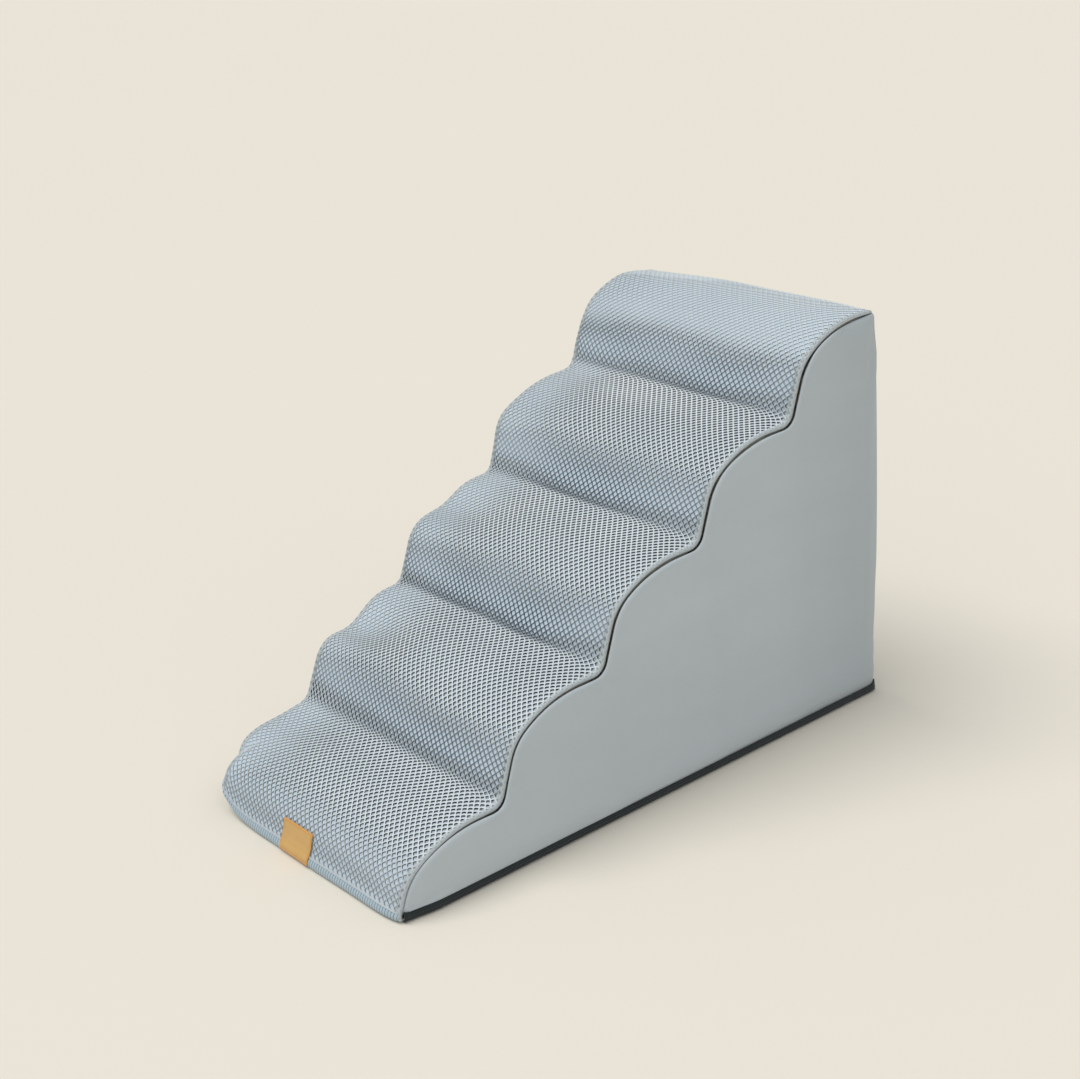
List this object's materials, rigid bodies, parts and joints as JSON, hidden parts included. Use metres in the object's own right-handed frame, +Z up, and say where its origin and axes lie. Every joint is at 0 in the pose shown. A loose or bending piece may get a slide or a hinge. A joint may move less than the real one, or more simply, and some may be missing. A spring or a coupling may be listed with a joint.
{
  "type": "dog ramp",
  "caption": "Wave-shaped foam pet ramp with rounded steps, a spacer-mesh tread, soft side panels, a grip base and a zip-off cover.",
  "frame": {"origin": "middle of the footprint, on the surface the ramp stands on", "axes": "+Z up, the low front end faces -Y and the steps rise towards +Y, +X to the right of someone facing the steps"},
  "size_m": [0.4008, 0.7872, 0.5187],
  "materials": {
    "core_foam": "open-cell foam, matt",
    "soft_foam": "fine open-cell foam, matt",
    "lining_cloth": "dark plain-weave lining, matt",
    "spacer_mesh": "two-face polyester spacer mesh, slight sheen",
    "panel_cloth": "short brushed knit, soft matt with a faint sheen",
    "base_cloth": "black non-slip cloth, matt",
    "grip_rubber": "moulded dots, satin",
    "zip_tape": "herringbone tape, matt",
    "zip_coil": "nylon coil, satin",
    "zip_metal": "dark plated die-cast metal, satin",
    "panel_thread": "twisted polyester thread",
    "base_thread": "twisted polyester thread, black",
    "label_cloth": "woven label, slight sheen",
    "label_thread": "twisted polyester thread"
  },
  "bodies": {
    "ramp": {"foam_core": "core_foam", "comfort_foam": "soft_foam", "tread_lining": "lining_cloth", "tread_mesh": "spacer_mesh", "right_side_panel": "panel_cloth", "left_side_panel": "panel_cloth", "rear_surround": "panel_cloth", "rear_flap": "panel_cloth", "base_panel": "base_cloth", "base_band": "base_cloth", "grip_dots": "grip_rubber", "zip_tape_inner": "zip_tape", "zip_tape_outer": "zip_tape", "zip_coil_inner": "zip_coil", "zip_coil_outer": "zip_coil", "zip_end_stops": "zip_metal", "zip_topstitching": "panel_thread", "front_label": "label_cloth", "label_stitching": "label_thread", "right_seam_thread": "panel_thread", "left_seam_thread": "panel_thread", "rear_seam_thread": "panel_thread", "base_seam_thread": "base_thread"},
    "slider": {"zip_slider": "zip_metal"},
    "pull_tab": {"zip_pull_tab": "zip_metal"}
  },
  "joints": [
    {"name": "zip_run", "type": "slide", "parent": "ramp", "child": "slider", "axis": [0, 0, -1], "range_m": [0, 0.35]},
    {"name": "tab_swing", "type": "hinge", "parent": "slider", "child": "pull_tab", "pos_m": [0.16, 0.39203, 0.4685], "axis": [1, 0, 0], "range_deg": [0, 165]}
  ]
}
